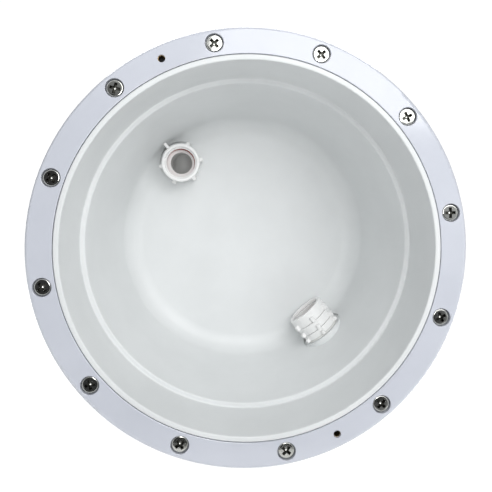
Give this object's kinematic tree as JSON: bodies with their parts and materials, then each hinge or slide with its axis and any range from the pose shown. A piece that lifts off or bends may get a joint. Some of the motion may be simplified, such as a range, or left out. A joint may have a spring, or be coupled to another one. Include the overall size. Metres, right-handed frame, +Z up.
{
  "type": "pool light niche",
  "caption": "Round wall niche for a pool light: stepped plastic bowl, screwed clamp ring with liner gaskets, and two cable glands that screw shut.",
  "frame": {"origin": "centre of the flange's back face, on the niche's axis, where the pool wall begins", "axes": "-Y out of the niche into the pool, +Y into the wall, +Z up, +X to the right seen from the pool"},
  "size_m": [0.28, 0.167, 0.28],
  "materials": {
    "bowl_plastic": "satin moulded ABS",
    "ring_plastic": "gloss moulded ABS",
    "gland_plastic": "semi-gloss nylon",
    "socket_plastic": "satin PVC",
    "gasket_rubber": "matt EPDM",
    "washer_rubber": "matt light silicone",
    "seal_rubber": "matt silicone",
    "stainless": "stainless steel",
    "brass": "turned brass"
  },
  "bodies": {
    "niche": {"niche_body": "bowl_plastic", "clamp_ring": "ring_plastic", "front_gasket": "gasket_rubber", "rear_gasket": "gasket_rubber", "ring_screws": "stainless", "ring_inserts": "brass", "lamp_inserts": "brass", "base_gland_body": "gland_plastic", "base_gland_barrel": "gland_plastic", "base_gland_seal": "seal_rubber", "base_gland_washer": "washer_rubber", "base_gland_lock_nut": "gland_plastic", "side_gland_body": "gland_plastic", "side_gland_barrel": "gland_plastic", "side_gland_seal": "seal_rubber", "side_gland_washer": "washer_rubber", "side_gland_lock_nut": "gland_plastic", "base_conduit_elbow": "socket_plastic", "side_conduit_socket": "socket_plastic"},
    "base_gland_slide_ring": {"base_gland_slip_ring": "gland_plastic"},
    "side_gland_slide_ring": {"side_gland_slip_ring": "gland_plastic"},
    "base_gland_nut": {"base_gland_cap_nut": "gland_plastic"},
    "side_gland_nut": {"side_gland_cap_nut": "gland_plastic"}
  },
  "joints": [
    {"name": "base_gland_travel", "type": "slide", "parent": "niche", "child": "base_gland_slide_ring", "axis": [0, -1, 0], "range_m": [0, 0.0031]},
    {"name": "base_gland_unscrew", "type": "hinge", "parent": "base_gland_slide_ring", "child": "base_gland_nut", "pos_m": [-0.05014, 0.078, 0.05975], "axis": [0, -1, 0], "range_deg": [0, 720]},
    {"name": "side_gland_travel", "type": "slide", "parent": "niche", "child": "side_gland_slide_ring", "axis": [-0.6428, 0, 0.766], "range_m": [0, 0.0031]},
    {"name": "side_gland_unscrew", "type": "hinge", "parent": "side_gland_slide_ring", "child": "side_gland_nut", "pos_m": [0.05142, 0.076, -0.06128], "axis": [-0.6428, 0, 0.766], "range_deg": [0, 720]}
  ],
  "couplings": [
    {"joint": "base_gland_travel", "follows": "base_gland_unscrew", "m_per_rad": 0.00023873},
    {"joint": "side_gland_travel", "follows": "side_gland_unscrew", "m_per_rad": 0.00023873}
  ]
}
